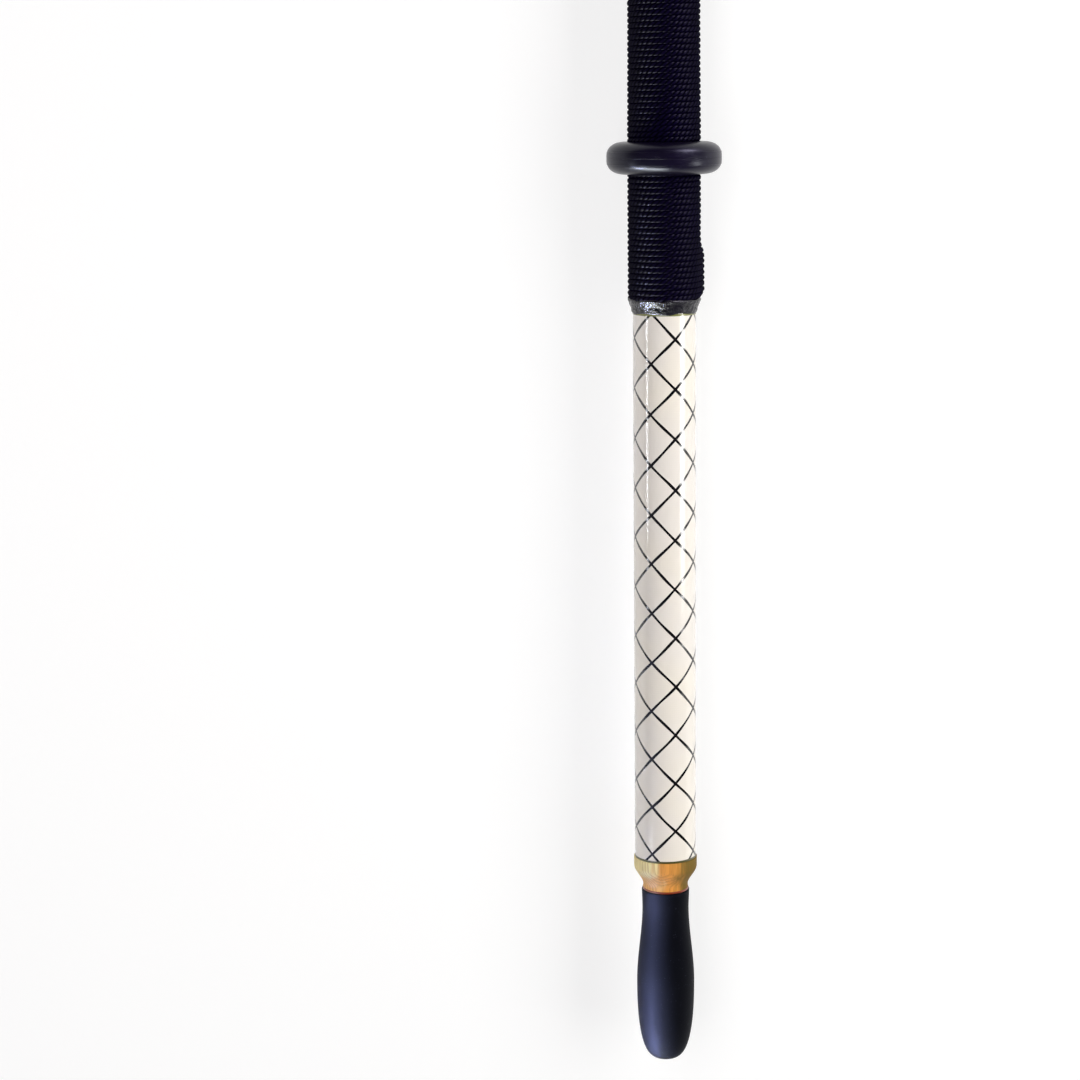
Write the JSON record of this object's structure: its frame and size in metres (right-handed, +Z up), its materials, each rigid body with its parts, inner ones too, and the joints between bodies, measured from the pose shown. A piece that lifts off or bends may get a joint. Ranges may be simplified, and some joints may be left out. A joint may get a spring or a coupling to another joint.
{
  "type": "oar",
  "caption": "Rafting oar without its blade: hollow composite shaft with an open blade socket, turned wooden handle, rubber grip, rope wrap with resin seals and a sliding rubber stopper ring",
  "frame": {"origin": "on the shaft's axis, half way along the oar's length", "axes": "+X along the shaft from the grip to the blade end; +Z up when the oar lies on a floor; +Y to the left of +X"},
  "size_m": [1.93, 0.0862, 0.0862],
  "materials": {
    "composite": "off-white laminate under clear gloss resin, with thin black yarns crossing in diamonds",
    "foam": "closed-cell foam, matte",
    "wood": "turned pale hardwood under a satin varnish",
    "grip_rubber": "matte moulded rubber, blue-black",
    "ring_rubber": "satin moulded rubber, black",
    "cord": "braided polyester cord, black",
    "resin": "black resin brushed on over the cord's ends, glossy and uneven"
  },
  "bodies": {
    "oar": {"shaft_tube": "composite", "socket_tube": "composite", "socket_bulkhead": "foam", "handle_core": "wood", "grip_sleeve": "grip_rubber", "rope_turns": "cord", "rope_tail": "cord", "rope_wrap": "cord", "handle_side_seal": "resin", "blade_side_seal": "resin"},
    "stopper": {"stopper_ring": "ring_rubber"}
  },
  "joints": [
    {"name": "stopper_slide", "type": "slide", "parent": "oar", "child": "stopper", "axis": [1, 0, 0], "range_m": [-0.049, 0.455]}
  ]
}
